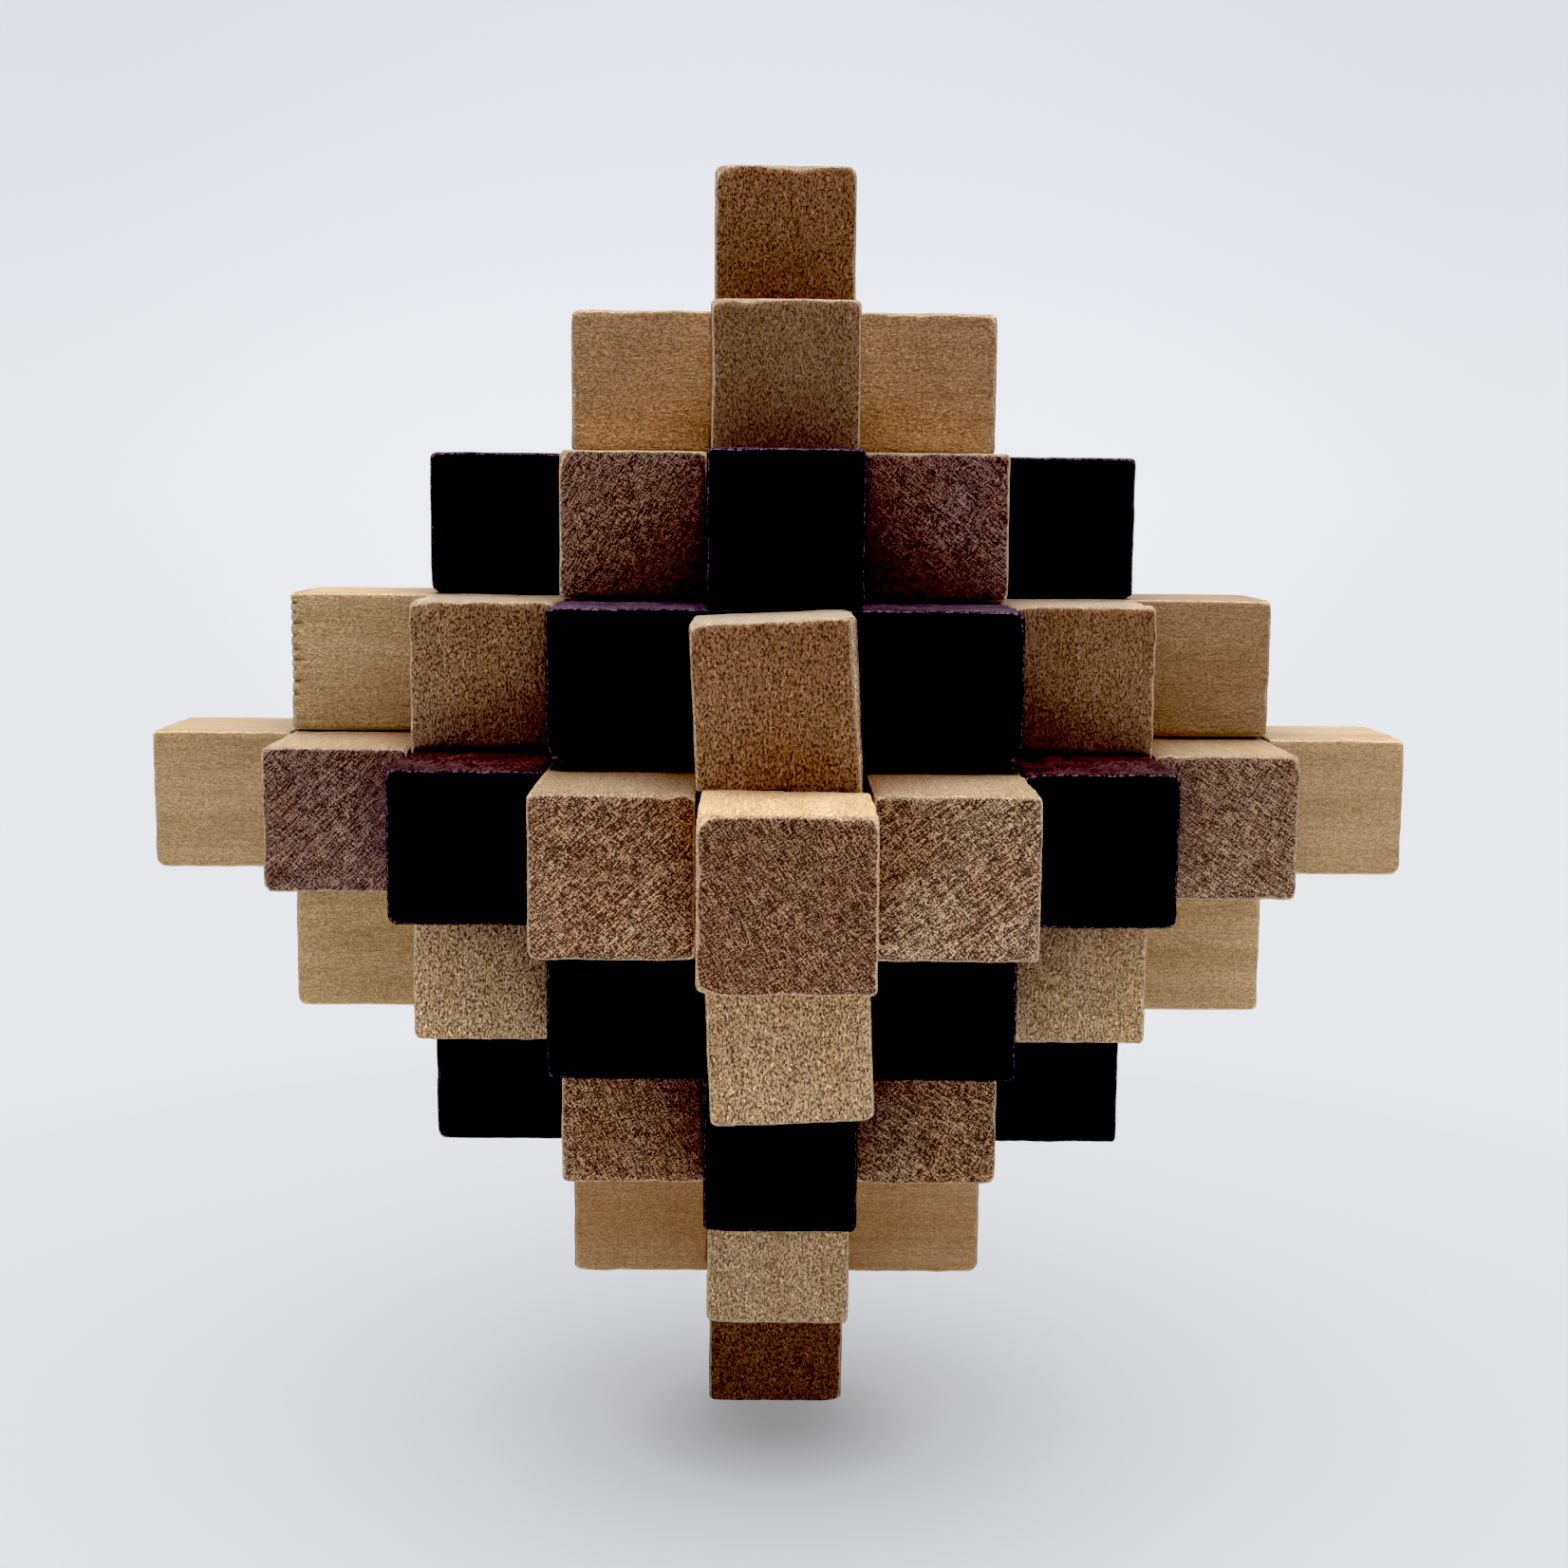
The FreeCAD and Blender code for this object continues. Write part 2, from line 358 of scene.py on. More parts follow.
# How far the wood's pattern may be shifted, in mm, and the usual angles of saw marks, in radians.
GRAIN_SHIFT = 300
USUAL_SAW_ANGLES = (0.5, 1.1)


def lines_between(planes, fine_span, fine_step):
    """Grid lines for one axis: every plane, lines close on both sides of it, and even filling."""
    lines = set()
    low, high = min(planes), max(planes)
    for plane in planes:
        lines.add(round(plane, LINE_DIGITS))
        for offset in EDGE_LINES:
            for place in (plane - offset, plane + offset):
                nearest = min(abs(place - other) for other in planes)
                if low < place < high and nearest > offset - SAME_PLACE:
                    lines.add(round(place, LINE_DIGITS))
    lines = sorted(lines)
    filled = [lines[0]]
    for place in lines[1:]:
        middle = (place + filled[-1]) / 2
        fine = min(middle - low, high - middle) < fine_span
        step = fine_step if fine else COARSE_STEP
        count = max(1, math.ceil((place - filled[-1]) / step - SPARE_STEP))
        filled += list(np.linspace(filled[-1], place, count + 1)[1:])
    return np.array(filled)


def shell_of(lines, solid):
    """Vertices and quads of the boundary between solid and empty cells of a grid."""
    shape = tuple(len(axis_lines) for axis_lines in lines)
    padded = np.pad(solid, 1)
    quads = []
    for axis in range(3):
        others = [other for other in range(3) if other != axis]
        before = np.moveaxis(padded, axis, 0)[:-1]
        after = np.moveaxis(padded, axis, 0)[1:]
        for outward, mask in ((1, before & ~after), (-1, ~before & after)):
            plane, side_a, side_b = np.argwhere(mask).T
            corners = [(0, 0), (1, 0), (1, 1), (0, 1)]
            if (outward < 0) != (axis == 1):
                corners.reverse()
            quad = []
            for step_a, step_b in corners:
                index = [None, None, None]
                index[axis] = plane
                index[others[0]] = side_a - 1 + step_a
                index[others[1]] = side_b - 1 + step_b
                quad.append(np.ravel_multi_index(tuple(index), shape))
            quads.append(np.stack(quad, axis=1))
    quads = np.concatenate(quads)
    used, flat = np.unique(quads, return_inverse=True)
    i, j, k = np.unravel_index(used, shape)
    points = np.stack([lines[0][i], lines[1][j], lines[2][k]], axis=1)
    return points, flat.reshape(-1, 4)


def sharp_shell(stick):
    """The stick's surface with sharp edges, as points in its own axes and quads."""
    half_length, half = stick.length / 2, stick.width / 2
    notches = stick.notches()
    planes = [{-half_length, half_length}, {stick.low_v, half}, {-half, half}]
    for low, high in notches:
        planes[0] |= {low[0], high[0]}
        for axis in (1, 2):
            planes[axis] |= {edge for edge in (low[axis], high[axis]) if abs(edge) < half}
    spans = (PITCH + FINE_MARGIN, PITCH, PITCH)
    steps = (FINE_STEP, FINE_STEP, NICK_STEP if stick.name == NICKED else FINE_STEP)
    lines = [lines_between(*settings) for settings in zip(planes, spans, steps)]
    centres = [(axis_lines[1:] + axis_lines[:-1]) / 2 for axis_lines in lines]
    grid = np.stack(np.meshgrid(*centres, indexing="ij"), axis=-1)
    solid = np.ones(grid.shape[:3], bool)
    for low, high in notches:
        solid &= ~np.all((grid > low) & (grid < high), axis=-1)
    return shell_of(lines, solid)


def ripple(points, random, length, count=7):
    """Smooth seeded noise of about unit size, with waves about this long, in mm."""
    out = np.zeros(len(points))
    for _ in range(count):
        direction = random.normal(size=3)
        direction /= np.linalg.norm(direction)
        wave = 2 * math.pi / (length * random.uniform(*WAVE_SPREAD))
        out += np.sin(points @ direction * wave + random.uniform(0, 2 * math.pi))
    return out / math.sqrt(count / 2)


def section_spans(stick):
    """The stick cut where its section changes: (start, end, (v, w) low, (v, w) high) of each piece."""
    half_length, half = stick.length / 2, stick.width / 2
    notches = stick.notches()
    cuts = sorted({-half_length, half_length} | {corner[0] for notch in notches for corner in notch})
    spans = []
    for start, end in zip(cuts, cuts[1:]):
        middle = (start + end) / 2
        low, high = [stick.low_v, -half], [half, half]
        for notch_low, notch_high in notches:
            if not notch_low[0] < middle < notch_high[0]:
                continue
            for axis in (0, 1):
                if notch_low[axis + 1] > -PITCH:
                    high[axis] = min(high[axis], notch_low[axis + 1])
                if notch_high[axis + 1] < PITCH:
                    low[axis] = max(low[axis], notch_high[axis + 1])
        spans.append((start, end, low, high))
    return spans


def boxes_of(stick):
    """Boxes whose union is the stick: each section, stretched along u as far as the stick holds it."""
    spans = section_spans(stick)
    boxes = []
    for index, (start, end, low, high) in enumerate(spans):
        for _, other_end, other_low, other_high in spans[index + 1:]:
            if not holds(other_low, other_high, low, high):
                break
            end = other_end
        for other_start, _, other_low, other_high in reversed(spans[:index]):
            if not holds(other_low, other_high, low, high):
                break
            start = other_start
        boxes.append(((start, *low), (end, *high)))
    return boxes


def holds(outer_low, outer_high, low, high):
    """Whether one section holds another."""
    return all(outer_low[a] <= low[a] and outer_high[a] >= high[a] for a in (0, 1))


def eased(points, boxes, radius):
    """Points moved in from the sharp edges to round ones, each with its own radius, and their wear."""
    best = np.full(len(points), np.inf)
    moved = points.copy()
    wear = np.zeros(len(points))
    for low, high in boxes:
        low, high = np.array(low), np.array(high)
        inner = np.clip(points, low + radius[:, None], high - radius[:, None])
        away = points - inner
        distance = np.linalg.norm(away, axis=1)
        near = distance < best
        best[near] = distance[near]
        scale = radius / np.maximum(distance, NO_DISTANCE)
        moved[near] = (inner + away * np.minimum(scale, 1)[:, None])[near]
        wear[near] = ((distance / radius - 1) / SQUARE_EXCESS)[near]
    return moved, np.clip(wear, 0, MOST_WEAR)


def chip(random, place, ranges):
    """One chip at this place, with its size and extra radius drawn from their ranges."""
    return (place, random.uniform(*ranges[0]), random.uniform(*ranges[1]))


def chips_of(stick):
    """Where the stick's edges are knocked: (place, size, extra radius) in its own axes, in mm."""
    random = stick.random
    half_length, half = stick.length / 2, stick.width / 2
    chips = []
    for end in (-1, 1):
        for _ in range(random.integers(*END_CHIPS)):
            along = random.uniform(-half, half)
            side = random.choice([-1, 1]) * half
            across = (along, side) if random.random() < 0.5 else (side, along)
            chips.append(chip(random, (end * half_length, *across), END_CHIP))
        for v in (-1, 1):
            for w in (-1, 1):
                chips.append(chip(random, (end * half_length, v * half, w * half), CORNER_CHIP))
        for _ in range(SIDE_CHIPS):
            along = end * (half_length - random.uniform(*SIDE_CHIP_REACH))
            place = (along, random.choice([-1, 1]) * half, random.choice([-1, 1]) * half)
            chips.append(chip(random, place, SIDE_CHIP))
    return chips


def saw_nicks(points, stick):
    """How deep the short saw nicks go, from 0 to 1, down the front of the bar's left end."""
    from_end = points[:, 0] + stick.length / 2
    place = points[:, 2] + NICK_SLANT * from_end
    spacing, change, waves = NICK_SPACING
    turns = place / spacing + change * np.sin(place * waves)
    teeth = np.clip(np.sin(2 * math.pi * turns) * NICK_SHARPNESS - NICK_SHARPNESS / 2, 0, 1)
    length, change, waves = NICK_LENGTH
    reach = np.clip(NICK_FADE - from_end / (length + change * np.sin(place * waves)), 0, 1)
    return teeth * reach * (points[:, 1] < 0) * (place > LOWEST_NICK)


def worn_shape(stick, points):
    """The points with rounded, chipped, nicked and cut edges, each one's wear, and its nick."""
    random = stick.random
    half_length, half = stick.length / 2, stick.width / 2
    slow, quick = ripple(points, random, SLOW_WAVE), ripple(points, random, QUICK_WAVE)
    radius = EDGE_RADIUS * (1 + SLOW_WAVER * slow + QUICK_WAVER * quick)
    for place, size, extra in chips_of(stick) + KNOCKS.get(stick.name, []):
        away = np.linalg.norm(points - np.array(place), axis=1)
        radius += extra * np.exp(-(away / size) ** 2)
    outer = (np.abs(points) > np.array([half_length, half, half]) - EDGE_ZONE).sum(axis=1) >= 2
    radius = np.where(outer, np.clip(radius, NOTCH_RADIUS, LARGEST_RADIUS), NOTCH_RADIUS)
    moved, wear = eased(points, boxes_of(stick), radius)
    nicks = saw_nicks(points, stick) if stick.name == NICKED else np.zeros(len(points))
    moved[:, 1] += NICK_DEPTH * nicks
    for place, direction in CUTS.get(stick.name, []):
        direction = np.array(direction) / np.linalg.norm(direction)
        beyond = np.maximum((moved - np.array(place)) @ direction, 0)
        moved -= beyond[:, None] * direction
        wear = np.maximum(wear, CUT_WEAR * np.clip(beyond / CUT_RIM, 0, 1))
    moved += FACE_WAVER * np.stack([ripple(points, random, FACE_WAVE) for _ in range(3)], axis=1)
    return moved, wear, nicks


def turn_of(stick):
    """The rotation from the stick's own axes to the shared frame."""
    turn = np.zeros((3, 3))
    for own, world in enumerate(stick.axes):
        turn[world, own] = 1
    if stick.loose:
        turn = np.array(Matrix.Rotation(-LEAN, 3, "Y")) @ turn
    return turn


def tone_and_light(stick, points, facing, upward, shut_in):
    """Brightness, warmth and fleck strength of the stick's wood, at each of its points, with painted light in the
    brightness.
    """
    near, far, flecks = TONE_AND_LIGHT.get(stick.name, DEFAULT_TONE_AND_LIGHT[stick.family])
    along = np.clip(points[:, 0] / stick.length + 0.5, 0, 1)
    brightness, warmth = [a + (b - a) * along for a, b in zip(near, far)]
    if stick.family == "depth" and not stick.dyed:
        # The table is for the ends.
        # Painted shade: the ends darken towards the top.
        brightness = brightness * (1 - END_SHADE_UPWARDS * points[:, 1] / HALF_WIDTH)
        side = SIDE_TONE_AND_LIGHT.get(stick.name, 1.0)
        brightness, warmth = side + (brightness - side) * np.abs(facing), warmth * np.abs(facing)
    if stick.family == "across" and not stick.dyed:
        # Painted fill light: sheltered faces that don't look up are painted paler.
        fill_light = SHELTER_FILL_BARS.get(stick.name, SHELTER_FILL_LIGHT)
        brightness = brightness * (1 + fill_light * shut_in * (1 - upward))
    if stick.family == "upright":
        # Painted light: the top end is painted brighter.
        top = np.clip(facing, 0, 1)
        brightness, warmth = brightness + (TOP_END_LIGHT - brightness) * top, warmth * (1 - top)
    return np.stack([brightness, warmth, flecks * (1 - TOP_FLECK_LOSS * upward)], axis=1)


def spun(points, angle):
    """Points in the stick's axes, turned about its length."""
    out = points.copy()
    out[:, 1] = points[:, 1] * math.cos(angle) - points[:, 2] * math.sin(angle)
    out[:, 2] = points[:, 1] * math.sin(angle) + points[:, 2] * math.cos(angle)
    return out


def store(mesh, name, values):
    """Keep one value or vector for each vertex, for the materials to read."""
    values = np.asarray(values, np.float32)
    kind, key = ("FLOAT_VECTOR", "vector") if values.ndim == 2 else ("FLOAT", "value")
    layer = mesh.attributes.new(name, kind, "POINT")
    layer.data.foreach_set(key, values.ravel())


def link(item):
    """Put an object in the scene."""
    bpy.context.scene.collection.objects.link(item)


def finished_stick(stick):
    """The stick's mesh object in the shared frame, with the attributes that its wood reads."""
    random = stick.random
    points, quads = sharp_shell(stick)
    moved, wear, nicks = worn_shape(stick, points)
    turn = turn_of(stick)
    placed = moved @ turn.T + stick.middle + np.array(SETTLE.get(stick.name, (0, 0, 0)))

    mesh = bpy.data.meshes.new(stick.name + "_finished")
    mesh.from_pydata(placed * MM, [], quads)
    mesh.update()
    mesh.shade_smooth()
    piece = bpy.data.objects.new(stick.name + "_stick", mesh)
    link(piece)

    normals = np.zeros(len(placed) * 3)
    mesh.vertices.foreach_get("normal", normals)
    normals = normals.reshape(-1, 3)
    facing = (normals @ turn)[:, 0]
    upward = np.clip(normals[:, 2], 0, 1)
    beside = placed + normals * LOOK_OUT - (1 - upward[:, None]) * np.array([0, 0, LOOK_DOWN])
    shut_in = np.clip((read_field(ALL_WOOD, beside) - OPEN_WOOD) / SHUT_RANGE, 0, 1)

    # The grain is cut from an endless block of wood at a random place and angle.
    spin = random.uniform(0, 2 * math.pi)
    shift = random.uniform(-GRAIN_SHIFT, GRAIN_SHIFT, size=3)
    usual_angle = random.uniform(*USUAL_SAW_ANGLES) * random.choice([-1, 1])
    store(mesh, "grain", spun(moved, spin) + shift)
    store(mesh, "saw", spun(moved, SAW_ANGLE.get(stick.name, usual_angle)) + shift)
    store(mesh, "end", np.abs(facing) ** 2)
    store(mesh, "wear", wear)
    # Painted shade: darker where other wood is near, and in the saw nicks' grooves.
    store(mesh, "corner", CORNER_SHADE[stick.family] * shut_in + nicks)
    store(mesh, "dye", read_field(DYED_WOOD, placed + normals * DYE_LOOK_OUT))
    store(mesh, "dye_near", read_field(DYED_NEARBY, placed + normals * STAIN_LOOK_OUT))
    store(mesh, "upward", upward)
    # The tone carries painted light as well as the wood's own tone.
    store(mesh, "tone", tone_and_light(stick, moved, facing, upward, shut_in))
    return piece


# ---------------------------------------------------------------------------------------------
# Materials
# ---------------------------------------------------------------------------------------------

# Bare wood. Along the stick: two ground colours, fibres, pale ridges with a painted highlight, and dark pits that
# are pores with painted shade.
SIDE_PALE, SIDE_TAN = (0.66, 0.47, 0.265, 1), (0.56, 0.375, 0.19, 1)
FIBRE = (0.35, 0.2, 0.095, 1)
RIDGE_HIGHLIGHT, RIDGE_SHOW = (0.86, 0.64, 0.41, 1), 0.75
PIT_SHADE, PIT_SHOW = (0.085, 0.028, 0.025, 1), 0.9
# On the ends: two ground colours, dark pores, and the painted light of ends that look up.
END_PALE, END_TAN = (0.61, 0.445, 0.288, 1), (0.6, 0.385, 0.226, 1)
PORE = (0.055, 0.02, 0.015, 1)
END_LIT = (0.74, 0.58, 0.39, 1)
# Tints that multiply the wood: warm or purple by the stick's tone, a painted sheen on tops, painted shade in
# corners.
WARM_TINT, PURPLE_TINT, TINT_SHOW = (1.0, 0.66, 0.56, 1), (0.9, 0.72, 0.98, 1), 0.8
TOP_SHEEN_TINT = (0.98, 1.05, 1.17, 1)
CORNER_SHADE_TINT, MOST_CORNER_SHADE = (0.6, 0.34, 0.27, 1), 0.8
# Dye that has soaked in beside black sticks, with painted shade there, dye rubbed off by contact, and pale edges
# that are fresh wood with a painted highlight.
STAIN_AND_SHADE = (0.15, 0.092, 0.135, 1)
RUBBED_DYE = (0.05, 0.02, 0.055, 1)
FRESH_WOOD_AND_HIGHLIGHT, PALE_EDGE_SHOW = (0.92, 0.72, 0.5, 1), 0.9

# Black dyed wood: two near blacks, what its tops fade to with painted top light, and its rubbed edges.
DYE, DYE_PATCH = (0.004, 0.003, 0.005, 1), (0.014, 0.006, 0.014, 1)
FADED_AND_LIT_PURPLE, FADED_AND_LIT_RUST, FADED_SHOW = (0.225, 0.145, 0.215, 1), (0.17, 0.07, 0.075, 1), 0.9
DYE_EDGE, DYE_EDGE_SHOW = (0.33, 0.22, 0.33, 1), 0.8

# Noise patterns in mm, as (what each axis is multiplied by, scale, detail, roughness). The sides'
# patterns are drawn out along the grain, and the saw's scratches along its own marks.
EVEN = (1, 1, 1)
FIBRES = ((0.07, 1, 1), 5.0, 3, 0.7)
PITS = ((0.6, 1, 1), 8.5, 3, 0.7)
RIDGES = ((0.5, 1, 1), 5.5, 3, 0.65)
FIGURE = ((0.05, 1, 1), 0.4, 2, 0.5)
STIPPLE = (EVEN, 10.5, 3, 0.75)
MOTTLE = (EVEN, 0.2, 2, 0.5)
SCRATCHES = ((1, 0.15, 1.5), 7.5, 2, 0.6)
CROSS_SCRATCHES = ((1, 1.5, 0.2), 7.5, 2, 0.6)
DYED_FIBRES = ((0.06, 1, 1), 3.0, 3, 0.6)
DYED_STIPPLE = (EVEN, 4.6, 3, 0.6)
DYED_PATCHES = (EVEN, 0.45, 3, 0.6)
# How much each pattern counts in the sawn ends, and in the relief of the sides.
STIPPLE_SHARE, SCRATCH_SHARE, CROSS_SHARE = 0.56, 0.26, 0.18
RIDGE_HEIGHT, FIBRE_HEIGHT = 0.7, 0.4
# How deep the relief is, in metres, and how much the wood shines.
BARE_RELIEF, DYED_RELIEF = 0.00012, 0.00004
BARE_SHINE, DYED_SHINE = 0.5, 0.12

# Smooth steps, as (low, high) of what is read and, where that isn't 0 and 1, (at low, at high).
# From a side to an end, and in the patterns of the bare wood:
END_STEP = (0.3, 0.7)
FIBRE_STEP = (0.35, 0.75, 0, 0.45)
PIT_STEP = (0.52, 0.585)
RIDGE_STEP = (0.47, 0.58)
FIGURE_STEP = (0.3, 0.7)
MOTTLE_STEP = (0.38, 0.62)
PORE_STEP = (0.468, 0.539)
BARE_ROUGHNESS = (0.2, 0.8, 0.45, 0.6)
# On faces that look up: painted light on ends, and the painted sheen.
END_LIT_STEP = (0.5, 0.9, 0, 0.8)
TOP_SHEEN_STEP = (0.6, 0.95)
# The dye stain and painted shade beside black sticks, by their nearness, the stipple, and faces that look up or
# are ends.
STAIN_STEP = (0.05, 0.35)
STAIN_STIPPLE = (0.35, 0.6, 0.5, 1)
STAIN_UPWARD = (0.2, 0.8, 1, 0.15)
STAIN_END = (0, 1, 0.5, 0.68)
# Rubbed dye, and pale edges, worn wood with a painted highlight, with their stipple.
RUBBED_STEP = (0.12, 0.5, 0, 0.9)
WORN_STEP = (0.2, 0.85)
WORN_STIPPLE = (0.42, 0.62, 1, 0.3)
# The dyed wood: its patches, its faded tops with painted top light, its worn edges and its roughness.
PATCH_STEP = (0.5, 0.8, 0, 0.4)
FADED_STEP = (0.6, 0.95)
FADED_STIPPLE = (0.42, 0.58, 0.1, 1)
FADED_PATCHES = (0.35, 0.6, 0.45, 1)
DYED_WORN_STEP = (0.4, 1)
DYED_WORN_STIPPLE = (0.45, 0.62, 0.1, 1)
DYED_ROUGHNESS = (0.2, 0.8, 0.6, 0.8)


class Nodes:
    """A short way to build a node tree: each method adds a node, and most return its output."""

    def __init__(self, owner):
        owner.use_nodes = True
        self.tree = owner.node_tree
        self.shader = self.tree.nodes.get("Principled BSDF")

    def add(self, kind, **settings):
        """A new node with these settings."""
        node = self.tree.nodes.new(kind)
        for key, value in settings.items():
            setattr(node, key, value)
        return node

    def feed(self, socket, value):
        """Link another socket to this one, or set this one's constant."""
        if isinstance(value, bpy.types.NodeSocket):
            self.tree.links.new(value, socket)
        else:
            socket.default_value = value

    def attribute(self, name, output="Fac"):
        """A value kept in the mesh."""
        return self.add("ShaderNodeAttribute", attribute_name=name).outputs[output]

    def math(self, operation, a, b=0.0, c=0.0, clamp=False):
        """A sum on up to three numbers."""
        node = self.add("ShaderNodeMath", operation=operation, use_clamp=clamp)
        for socket, value in zip(node.inputs, (a, b, c)):
            self.feed(socket, value)
        return node.outputs[0]

    def times(self, a, b, clamp=False):
        """The product of two numbers."""
        return self.math("MULTIPLY", a, b, clamp=clamp)

    def vector_math(self, operation, a, b=(0.0, 0.0, 0.0)):
        """A vector sum, as its node."""
        node = self.add("ShaderNodeVectorMath", operation=operation)
        self.feed(node.inputs[0], a)
        self.feed(node.inputs[1], b)
        return node

    def noise(self, vector, factors, scale, detail, rough):
        """Noise, with its place multiplied by three factors so that it can be drawn out."""
        if factors != EVEN:
            vector = self.vector_math("MULTIPLY", vector, factors).outputs[0]
        node = self.add("ShaderNodeTexNoise")
        self.feed(node.inputs["Vector"], vector)
        node.inputs["Scale"].default_value = scale
        node.inputs["Detail"].default_value = detail
        node.inputs["Roughness"].default_value = rough
        return node.outputs["Fac"]

    def ramp(self, value, low, high, start=0.0, end=1.0):
        """A smooth step from start to end, as the value goes from low to high."""
        node = self.add("ShaderNodeMapRange", interpolation_type="SMOOTHSTEP")
        for socket, number in zip(node.inputs[:5], (value, low, high, start, end)):
            self.feed(socket, number)
        return node.outputs[0]

    def mix(self, factor, a, b, blend="MIX"):
        """Two colours mixed."""
        node = self.add("ShaderNodeMix", data_type="RGBA", blend_type=blend)
        self.feed(node.inputs[0], factor)
        self.feed(node.inputs[6], a)
        self.feed(node.inputs[7], b)
        return node.outputs[2]

    def mix_numbers(self, factor, a, b):
        """Two numbers mixed."""
        node = self.add("ShaderNodeMix", data_type="FLOAT")
        self.feed(node.inputs[0], factor)
        self.feed(node.inputs[2], a)
        self.feed(node.inputs[3], b)
        return node.outputs[0]

    def bump(self, height, distance):
        """A normal from a height."""
        node = self.add("ShaderNodeBump")
        node.inputs["Distance"].default_value = distance
        self.feed(node.inputs["Height"], height)
        return node.outputs["Normal"]

    def parts(self, vector):
        """A vector's three numbers."""
        node = self.add("ShaderNodeSeparateXYZ")
        self.feed(node.inputs[0], vector)
        return node.outputs


def side_grain(n, grain, flecks, fibres):
    """Long grain, with fibres, pale ridges painted as highlights and dark pits painted as shade: its colour and
    its height.
    """
    pits = n.ramp(n.noise(grain, *PITS), *PIT_STEP)
    ridges = n.ramp(n.noise(grain, *RIDGES), *RIDGE_STEP)
    figure = n.ramp(n.noise(grain, *FIGURE), *FIGURE_STEP)
    colour = n.mix(figure, SIDE_PALE, SIDE_TAN)
    colour = n.mix(n.ramp(fibres, *FIBRE_STEP), colour, FIBRE)
    # Painted highlight on the ridges and painted shade in the pits, over the real relief.
    colour = n.mix(n.times(ridges, n.times(flecks, RIDGE_SHOW)), colour, RIDGE_HIGHLIGHT)
    colour = n.mix(n.times(pits, n.times(flecks, PIT_SHOW)), colour, PIT_SHADE)
    height = n.times(n.math("SUBTRACT", n.times(ridges, RIDGE_HEIGHT), pits), flecks)
    return colour, n.math("MULTIPLY_ADD", fibres, FIBRE_HEIGHT, height)


def end_grain(n, grain, stipple, upward):
    """Sawn end grain, with dark pores drawn out by the saw and painted light where it looks up: its colour and its
    height.
    """
    saw = n.attribute("saw", "Vector")
    scratches = n.noise(saw, *SCRATCHES)
    cross_scratches = n.noise(saw, *CROSS_SCRATCHES)
    texture = n.math("ADD", n.times(stipple, STIPPLE_SHARE), n.times(scratches, SCRATCH_SHARE))
    texture = n.math("ADD", texture, n.times(cross_scratches, CROSS_SHARE))
    pores = n.ramp(texture, *PORE_STEP)
    mottle = n.ramp(n.noise(grain, *MOTTLE), *MOTTLE_STEP)
    colour = n.mix(pores, n.mix(mottle, END_PALE, END_TAN), PORE)
    # Painted light: ends that look up are painted paler.
    colour = n.mix(n.ramp(upward, *END_LIT_STEP), colour, END_LIT)
    return colour, n.times(pores, -1.0)


def toned(n, colour, brightness, warmth, upward):
    """The colour with the stick's own brightness and warmth (which hold painted light), a painted sheen on tops
    and painted shade in corners.
    """
    colour = n.mix(n.times(warmth, TINT_SHOW, clamp=True), colour, WARM_TINT, "MULTIPLY")
    colour = n.mix(n.times(warmth, -TINT_SHOW, clamp=True), colour, PURPLE_TINT, "MULTIPLY")
    tint = n.add("ShaderNodeHueSaturation")
    n.feed(tint.inputs["Value"], brightness)
    n.feed(tint.inputs["Color"], colour)
    # A painted sheen: faces that look up are tinted paler and bluer.
    colour = n.mix(n.ramp(upward, *TOP_SHEEN_STEP), tint.outputs[0], TOP_SHEEN_TINT, "MULTIPLY")
    # Painted shade in corners and in the nicks' grooves.
    painted_shade = n.math("MINIMUM", n.attribute("corner"), MOST_CORNER_SHADE)
    return n.mix(painted_shade, colour, CORNER_SHADE_TINT, "MULTIPLY")


def marked(n, colour, end, stipple, upward):
    """The colour with dye stain and painted shade beside black sticks, dye that has rubbed off, and pale edges of
    worn wood with a painted highlight.
    """
    # Dye stain with painted shade: darker and purple near black sticks, less on faces that look up.
    stain_and_shade = n.times(n.ramp(n.attribute("dye_near"), *STAIN_STEP), n.ramp(stipple, *STAIN_STIPPLE))
    stain_and_shade = n.times(stain_and_shade, n.ramp(upward, *STAIN_UPWARD))
    colour = n.mix(n.times(stain_and_shade, n.ramp(end, *STAIN_END)), colour, STAIN_AND_SHADE)
    colour = n.mix(n.ramp(n.attribute("dye"), *RUBBED_STEP), colour, RUBBED_DYE)
    # Pale edges: worn wood, and a painted highlight where rounded edges catch light.
    pale_edges = n.times(n.ramp(n.attribute("wear"), *WORN_STEP), n.ramp(stipple, *WORN_STIPPLE))
    return n.mix(n.times(pale_edges, PALE_EDGE_SHOW), colour, FRESH_WOOD_AND_HIGHLIGHT)


